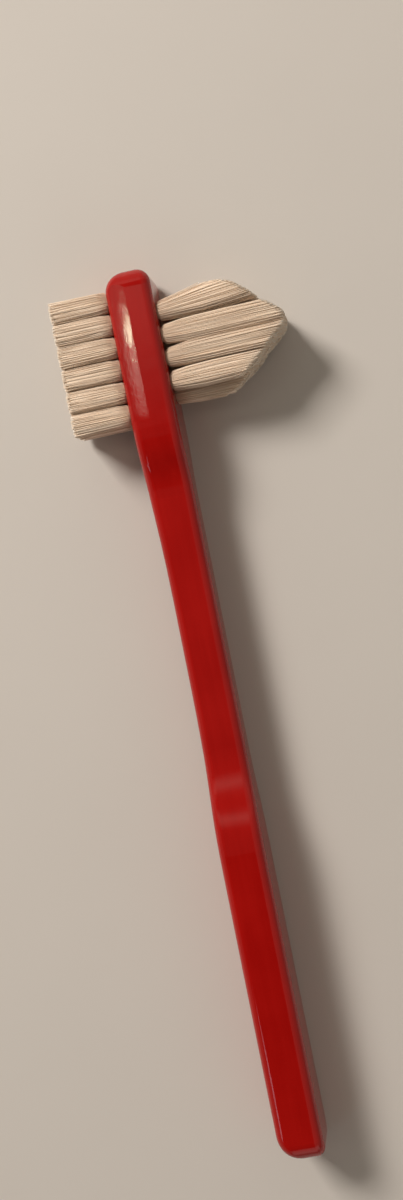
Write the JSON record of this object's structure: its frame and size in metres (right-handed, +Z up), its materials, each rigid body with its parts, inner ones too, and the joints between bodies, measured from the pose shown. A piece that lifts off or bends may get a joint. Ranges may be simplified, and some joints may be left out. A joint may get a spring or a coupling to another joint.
{
  "type": "denture brush",
  "caption": "Denture brush with a straight red handle, short flat tufts on one side of the head and long tufts cut to a point on the other.",
  "frame": {"origin": "middle of the grip's flat underside, on which the brush lies on its side", "axes": "+Y along the handle toward the head, +X across the handle toward the long tufts, +Z up"},
  "size_m": [0.0423, 0.165, 0.013],
  "materials": {
    "red_plastic": "smooth glossy red moulded plastic",
    "bristle_nylon": "off-white nylon filaments in trimmed bundles",
    "anchor_brass": "bright flat metal strip"
  },
  "bodies": {
    "root": {"handle": "red_plastic", "short_tuft_low_1": "bristle_nylon", "short_tuft_low_2": "bristle_nylon", "short_tuft_low_3": "bristle_nylon", "short_tuft_low_4": "bristle_nylon", "short_tuft_low_5": "bristle_nylon", "short_tuft_low_6": "bristle_nylon", "short_tuft_middle_1": "bristle_nylon", "short_tuft_middle_2": "bristle_nylon", "short_tuft_middle_3": "bristle_nylon", "short_tuft_middle_4": "bristle_nylon", "short_tuft_middle_5": "bristle_nylon", "short_tuft_middle_6": "bristle_nylon", "short_tuft_high_1": "bristle_nylon", "short_tuft_high_2": "bristle_nylon", "short_tuft_high_3": "bristle_nylon", "short_tuft_high_4": "bristle_nylon", "short_tuft_high_5": "bristle_nylon", "short_tuft_high_6": "bristle_nylon", "short_tuft_anchors": "anchor_brass", "long_tuft_low_1": "bristle_nylon", "long_tuft_low_2": "bristle_nylon", "long_tuft_low_3": "bristle_nylon", "long_tuft_low_4": "bristle_nylon", "long_tuft_middle_1": "bristle_nylon", "long_tuft_middle_2": "bristle_nylon", "long_tuft_middle_3": "bristle_nylon", "long_tuft_middle_4": "bristle_nylon", "long_tuft_high_1": "bristle_nylon", "long_tuft_high_2": "bristle_nylon", "long_tuft_high_3": "bristle_nylon", "long_tuft_high_4": "bristle_nylon", "long_tuft_anchors": "anchor_brass"}
  },
  "joints": []
}
